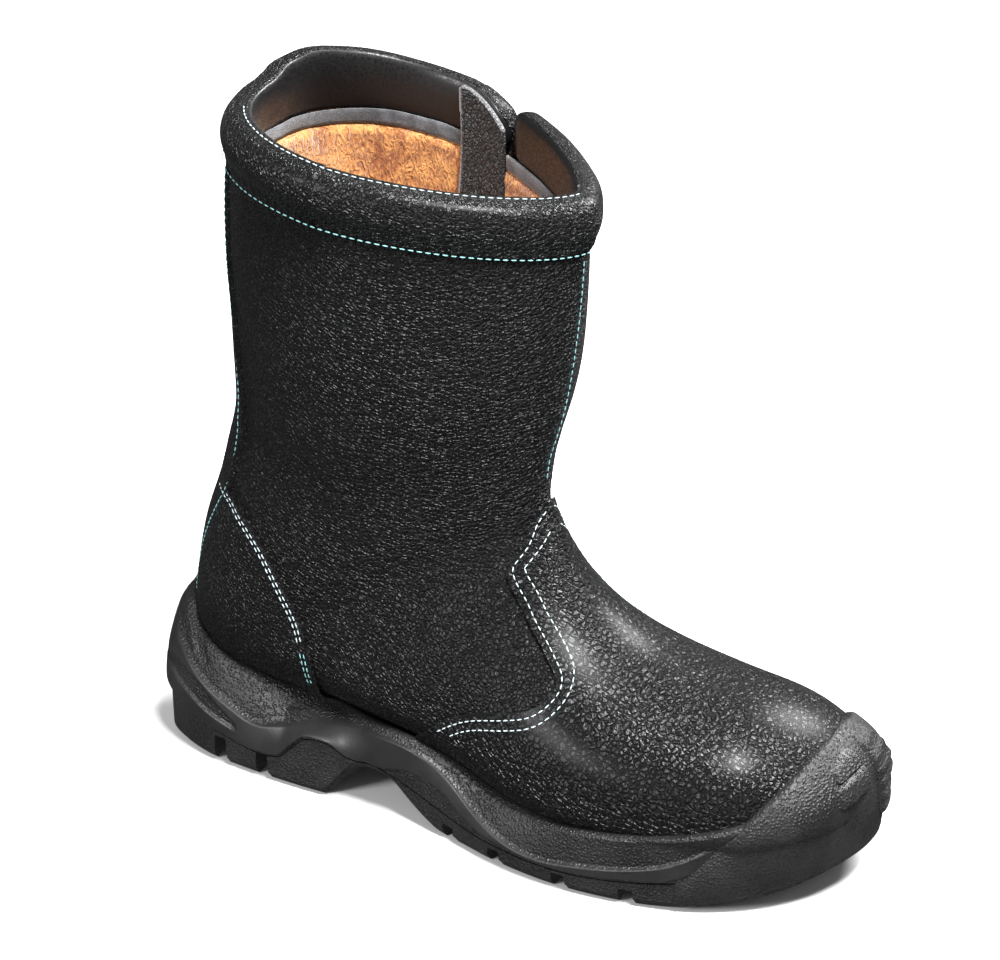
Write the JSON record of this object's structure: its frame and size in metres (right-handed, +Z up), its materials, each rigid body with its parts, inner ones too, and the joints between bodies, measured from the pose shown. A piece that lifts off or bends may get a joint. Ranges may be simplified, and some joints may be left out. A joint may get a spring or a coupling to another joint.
{
  "type": "pull-on safety boot",
  "caption": "Tall pull-on leather work boot for the right foot, with a padded collar, pile lining and a moulded sole with a toe guard.",
  "frame": {"origin": "on the floor, under the middle of the heel", "axes": "+X from the heel to the toe, +Y from the outer to the inner side of the foot, +Z up from the floor"},
  "size_m": [0.3109, 0.122, 0.2841],
  "materials": {
    "outsole": "matte",
    "midsole": "satin",
    "upper": "satin",
    "vamp": "satin",
    "back_strip": "satin",
    "counter": "satin",
    "collar": "satin",
    "inner_strip": "matte",
    "insole": "matte"
  },
  "bodies": {
    "root": {"outsole": "outsole", "midsole": "midsole", "upper": "upper", "vamp": "vamp", "back_strip": "back_strip", "counter_outer": "counter", "counter_inner": "counter", "collar": "collar", "inner_strip": "inner_strip", "insole": "insole"}
  },
  "joints": []
}
